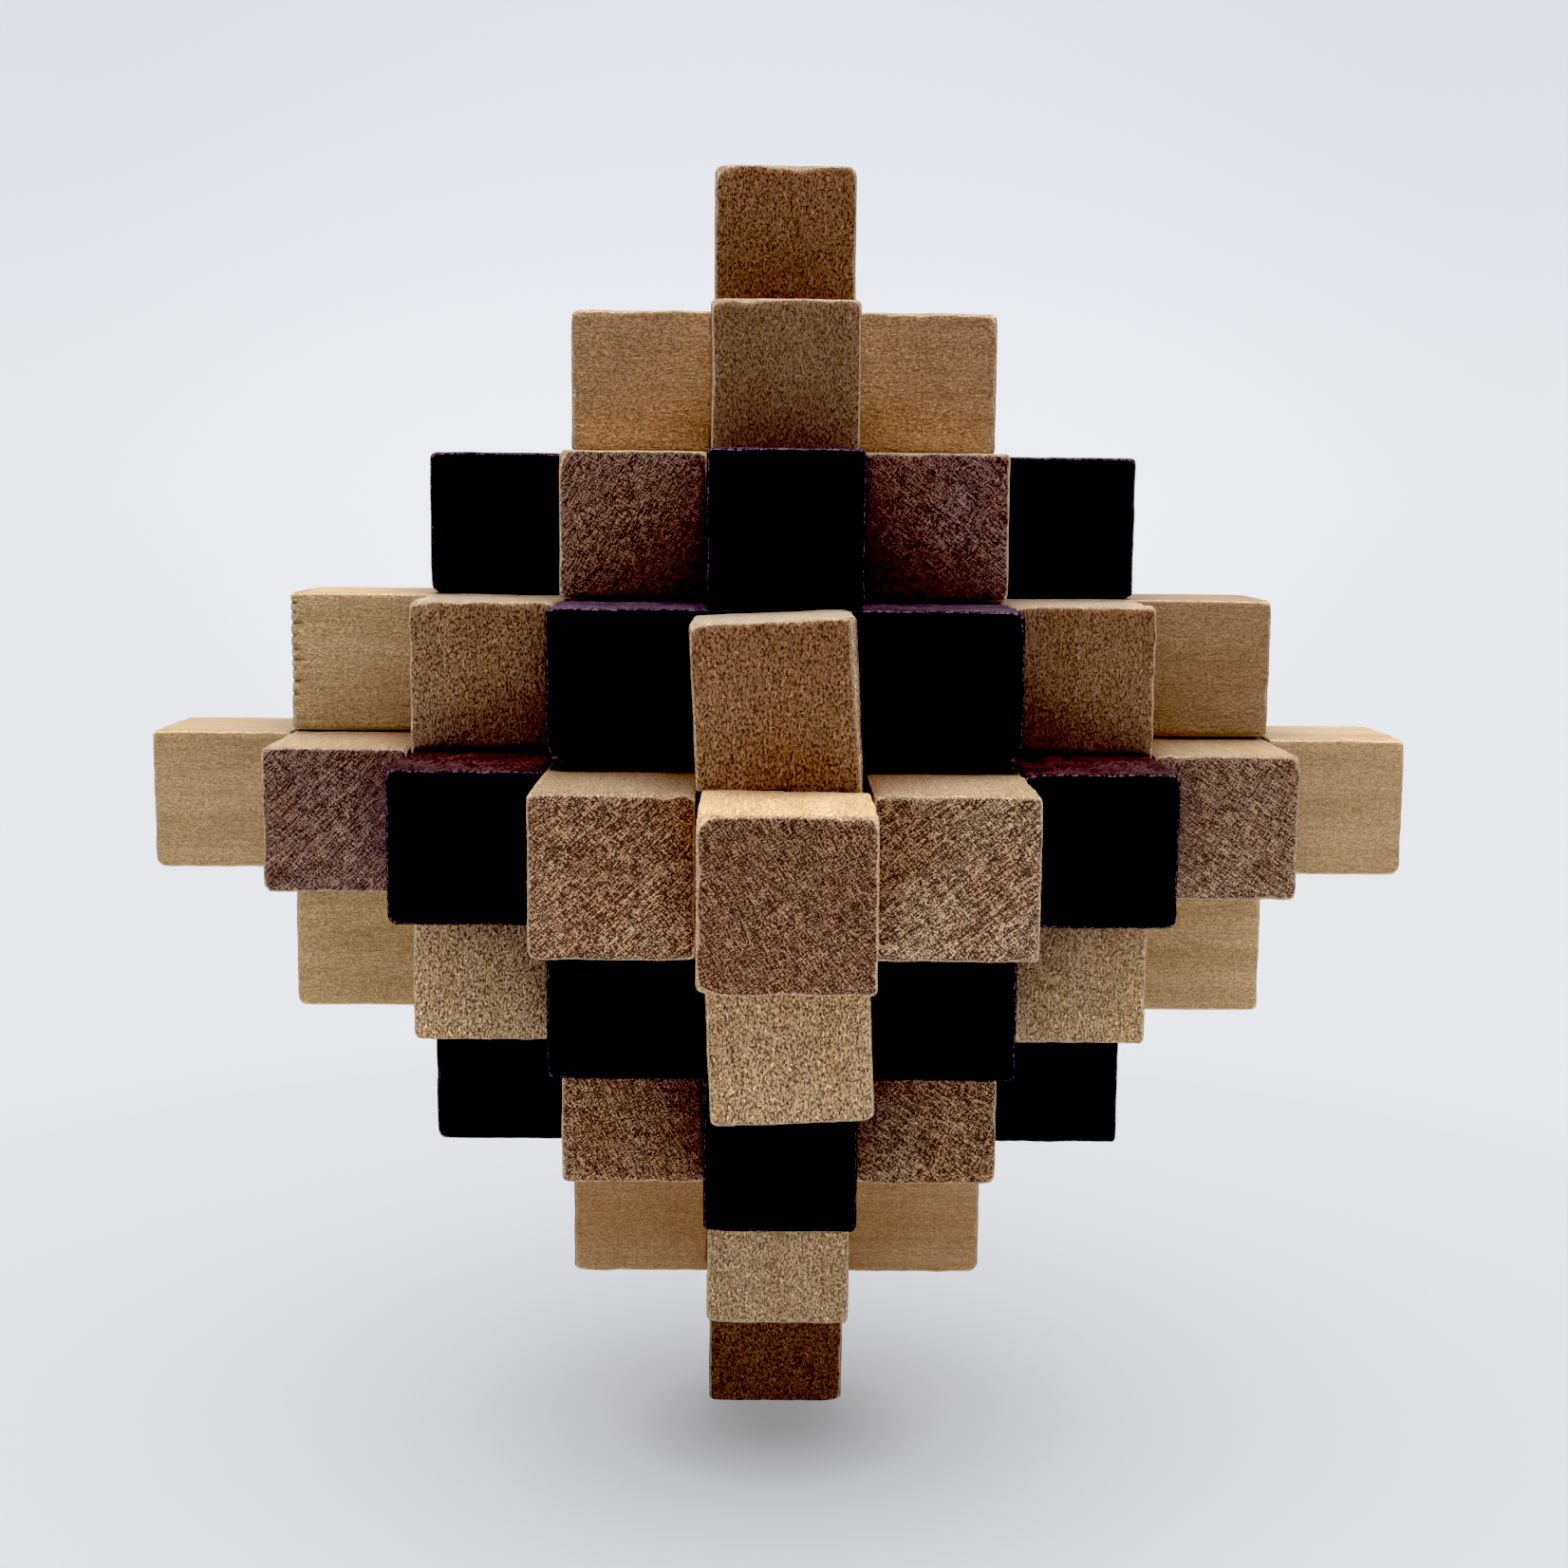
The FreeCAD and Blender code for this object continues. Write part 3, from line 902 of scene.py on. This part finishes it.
def natural_wood():
    """Bare pale hardwood: flecked long grain on the sides and darker stippled grain on the ends."""
    material = bpy.data.materials.new(BARE)
    n = Nodes(material)
    grain = n.attribute("grain", "Vector")
    end = n.ramp(n.attribute("end"), *END_STEP)
    upward = n.attribute("upward")
    brightness, warmth, flecks = n.parts(n.attribute("tone", "Vector"))
    fibres = n.noise(grain, *FIBRES)
    stipple = n.noise(grain, *STIPPLE)

    side_colour, side_height = side_grain(n, grain, flecks, fibres)
    end_colour, end_height = end_grain(n, grain, stipple, upward)
    colour = toned(n, n.mix(end, side_colour, end_colour), brightness, warmth, upward)
    n.feed(n.shader.inputs["Base Color"], marked(n, colour, end, stipple, upward))
    height = n.mix_numbers(end, side_height, end_height)
    n.feed(n.shader.inputs["Normal"], n.bump(height, BARE_RELIEF))
    n.feed(n.shader.inputs["Roughness"], n.ramp(fibres, *BARE_ROUGHNESS))
    n.shader.inputs["Specular IOR Level"].default_value = BARE_SHINE
    return material


def black_dyed_wood():
    """Wood dyed near black: its tops faded to purple or rust and painted lighter, and its edges rubbed pale."""
    material = bpy.data.materials.new(DYED)
    n = Nodes(material)
    grain = n.attribute("grain", "Vector")
    _, warmth, _ = n.parts(n.attribute("tone", "Vector"))
    stipple = n.noise(grain, *DYED_STIPPLE)
    patches = n.noise(grain, *DYED_PATCHES)
    fibres = n.noise(grain, *DYED_FIBRES)

    colour = n.mix(n.ramp(patches, *PATCH_STEP), DYE, DYE_PATCH)
    # Faded tops: thinner dye, and painted light on faces that look up.
    faded_and_lit = n.times(n.ramp(n.attribute("upward"), *FADED_STEP), n.ramp(stipple, *FADED_STIPPLE))
    faded_and_lit = n.times(faded_and_lit, n.ramp(patches, *FADED_PATCHES))
    colour = n.mix(n.times(faded_and_lit, FADED_SHOW), colour, n.mix(warmth, FADED_AND_LIT_PURPLE, FADED_AND_LIT_RUST))
    pale_edges = n.times(n.ramp(n.attribute("wear"), *DYED_WORN_STEP), n.ramp(stipple, *DYED_WORN_STIPPLE))
    colour = n.mix(n.times(pale_edges, DYE_EDGE_SHOW), colour, DYE_EDGE)
    n.feed(n.shader.inputs["Base Color"], colour)
    n.feed(n.shader.inputs["Normal"], n.bump(n.math("ADD", fibres, stipple), DYED_RELIEF))
    n.feed(n.shader.inputs["Roughness"], n.ramp(fibres, *DYED_ROUGHNESS))
    n.shader.inputs["Specular IOR Level"].default_value = DYED_SHINE
    return material


# ---------------------------------------------------------------------------------------------
# Studio: floor, light and camera, in metres
# ---------------------------------------------------------------------------------------------

# The rings of the floor's mesh, and how many steps go round each one.
FLOOR_RINGS = (0.3, 1.0, 3.0, 12.0)
FLOOR_STEPS = 96
FLOOR_COLOUR = (0.43, 0.435, 0.445, 1)
FLOOR_ROUGHNESS, FLOOR_SHINE = 0.9, 0.1
HORIZON = (0.80, 0.81, 0.84, 1)
UPPER_BACKGROUND = (0.737, 0.752, 0.806, 1)
# Smooth steps of the background, by how far up and how far to the back its direction goes.
UPPER_STEP = (0.0, 0.22)
GLOW_STEP = (0.94, 1.0, 0.0, 0.04)
# How much the floor glows like the background, as smooth steps of a distance: two from the middle
# of the puzzle's soft shade, of which the lower one counts and whose glow paints that shade's shape,
# and one from the puzzle's tip, past which the floor is all background.
SHADE_MIDDLE = (0.0, -0.009, 0.0)
INNER_SHADE = (0.0, 0.02, 0.28, 0.74)
OUTER_SHADE = (0.0, 0.035, 0.48, 0.74)
FLOOR_FADE = (0.05, 0.12)

WORLD_LIGHT = (0.98, 0.99, 1.0, 1)
# How bright the light is, by how far to the back and how far up it comes from.
LIGHT_FROM_BACK = (-0.8, 0.7, 0.38, 1.05)
LIGHT_FROM_ABOVE = (0.2, 0.9, 1.0, 0.7)
# The two lamps, with angles in degrees.
SUN_STRENGTH = 3.2
SUN_ANGLE = 70
SUN_LEAN = 4
BOUNCE_SIZE = (0.24, 0.09)
BOUNCE_STRENGTH = 0.095
BOUNCE_PLACE = (0, -0.1, 0.004)
BOUNCE_TILT = 30

# Tones below this are printed black.
BLACK_LEVEL = (0.045, 0.045, 0.045)
# The camera: its place in grid pitches from the middle of the puzzle, its turns in degrees, its
# lens and sensor in mm, and the nearest and farthest that it sees in metres.
EYE = Vector((-0.16, -15.83, 2.166))
YAW, PITCH_DOWN, ROLL = 0.689, 7.473, 0.532
LENS = 49.4
SENSOR = 36.0
NEAREST, FARTHEST = 0.01, 100


def backdrop_colour(n, back, up):
    """The pale background: a little bluer higher up, and brighter straight behind the puzzle."""
    higher = n.mix(n.ramp(up, *UPPER_STEP), HORIZON, UPPER_BACKGROUND)
    glow = n.ramp(back, *GLOW_STEP)
    return n.mix(1.0, higher, glow, "ADD")


def pale_floor():
    """A matt white sheet that glows like the background: fully far away, so that no horizon shows, and less near
    the puzzle, where the glow paints the shape of its soft shadow.
    """
    material = bpy.data.materials.new("pale_floor")
    n = Nodes(material)
    n.shader.inputs["Base Color"].default_value = FLOOR_COLOUR
    n.shader.inputs["Roughness"].default_value = FLOOR_ROUGHNESS
    n.shader.inputs["Specular IOR Level"].default_value = FLOOR_SHINE
    place = n.add("ShaderNodeTexCoord").outputs["Object"]
    distance = n.vector_math("LENGTH", place).outputs["Value"]
    _, back, _ = n.parts(n.vector_math("NORMALIZE", place).outputs[0])
    glow = n.add("ShaderNodeEmission")
    n.feed(glow.inputs["Color"], backdrop_colour(n, back, 0.0))
    from_shade = n.vector_math("DISTANCE", place, SHADE_MIDDLE).outputs["Value"]
    inner = n.ramp(from_shade, *INNER_SHADE)
    outer = n.ramp(from_shade, *OUTER_SHADE)
    beyond = n.ramp(distance, *FLOOR_FADE)
    fade = n.add("ShaderNodeMixShader")
    n.feed(fade.inputs[0], n.math("MAXIMUM", n.math("MINIMUM", inner, outer), beyond))
    n.feed(fade.inputs[1], n.shader.outputs[0])
    n.feed(fade.inputs[2], glow.outputs[0])
    n.feed(n.tree.nodes["Material Output"].inputs["Surface"], fade.outputs[0])
    return material


def make_floor():
    """A very large floor disc."""
    turns = [2 * math.pi * i / FLOOR_STEPS for i in range(FLOOR_STEPS)]
    points = [(0, 0, 0)]
    for ring in FLOOR_RINGS:
        points += [(ring * math.cos(turn), ring * math.sin(turn), 0) for turn in turns]
    pairs = [(i, (i + 1) % FLOOR_STEPS) for i in range(FLOOR_STEPS)]
    faces = [(0, 1 + i, 1 + after) for i, after in pairs]
    for ring in range(len(FLOOR_RINGS) - 1):
        inner, outer = 1 + ring * FLOOR_STEPS, 1 + (ring + 1) * FLOOR_STEPS
        faces += [(inner + i, outer + i, outer + after, inner + after) for i, after in pairs]
    mesh = bpy.data.meshes.new("floor")
    mesh.from_pydata(points, [], faces)
    mesh.materials.append(pale_floor())
    floor = bpy.data.objects.new("floor", mesh)
    link(floor)


def make_world():
    """Soft light, bright from behind and dim from the front, with a plain pale background."""
    world = bpy.data.worlds.new("studio")
    bpy.context.scene.world = world
    n = Nodes(world)
    _, back, up = n.parts(n.add("ShaderNodeTexCoord").outputs["Generated"])
    light = n.times(n.ramp(back, *LIGHT_FROM_BACK), n.ramp(up, *LIGHT_FROM_ABOVE))
    lit = n.mix(1.0, WORLD_LIGHT, light, "MULTIPLY")
    seen = n.add("ShaderNodeLightPath").outputs["Is Camera Ray"]
    background = n.tree.nodes["Background"]
    n.feed(background.inputs["Color"], n.mix(seen, lit, backdrop_colour(n, back, up)))
    background.inputs["Strength"].default_value = 1.0


def make_overhead_light():
    """A very soft sun, nearly overhead and a little to the front."""
    data = bpy.data.lights.new("overhead_soft_light", "SUN")
    data.energy = SUN_STRENGTH
    data.angle = math.radians(SUN_ANGLE)
    lamp = bpy.data.objects.new("overhead_soft_light", data)
    lamp.rotation_euler = (math.radians(SUN_LEAN), 0, 0)
    link(lamp)


def make_bounce():
    """A soft light low in front, like white paper that throws light up at the lower sticks."""
    data = bpy.data.lights.new("low_bounce", "AREA")
    data.shape = "RECTANGLE"
    data.size, data.size_y = BOUNCE_SIZE
    data.energy = BOUNCE_STRENGTH
    lamp = bpy.data.objects.new("low_bounce", data)
    lamp.location = BOUNCE_PLACE
    lamp.rotation_euler = (math.radians(180 - BOUNCE_TILT), 0, 0)
    lamp.visible_camera = False
    link(lamp)


def make_camera():
    """The camera, close in front of the puzzle and a little above its middle."""
    data = bpy.data.cameras.new("camera")
    data.lens = LENS
    data.sensor_width = SENSOR
    data.clip_start = NEAREST
    data.clip_end = FARTHEST
    data.dof.use_dof = False
    camera = bpy.data.objects.new("camera", data)
    middle = Vector((0, 0, LONG_BAR / 2 * MM))
    look = Matrix.Rotation(math.radians(-YAW), 4, "Z")
    look = look @ Matrix.Rotation(math.radians(90 - PITCH_DOWN), 4, "X")
    look = look @ Matrix.Rotation(math.radians(ROLL), 4, "Z")
    camera.matrix_world = Matrix.Translation(middle + EYE * PITCH * MM) @ look
    link(camera)
    bpy.context.scene.camera = camera


def grade_view():
    """A contrasty print: Blender's plain view with its darkest tones taken down to black."""
    view = bpy.context.scene.view_settings
    view.view_transform = "Standard"
    view.use_curve_mapping = True
    view.curve_mapping.black_level = BLACK_LEVEL
    view.curve_mapping.update()


# ---------------------------------------------------------------------------------------------
# Build
# ---------------------------------------------------------------------------------------------

body_of = {}
for body_name, members in frame["record"]["behaviour"]["bodies"].items():
    for member in members:
        body_of[member] = body_name

woods = {BARE: natural_wood(), DYED: black_dyed_wood()}
for stick in STICKS:
    piece = finished_stick(stick)
    slot = DYED if stick.dyed else BARE
    piece.data.materials.append(woods[slot])
    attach(piece, body_of[stick.name])
    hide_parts(stick.name)

make_floor()
make_world()
make_overhead_light()
make_bounce()
make_camera()
grade_view()
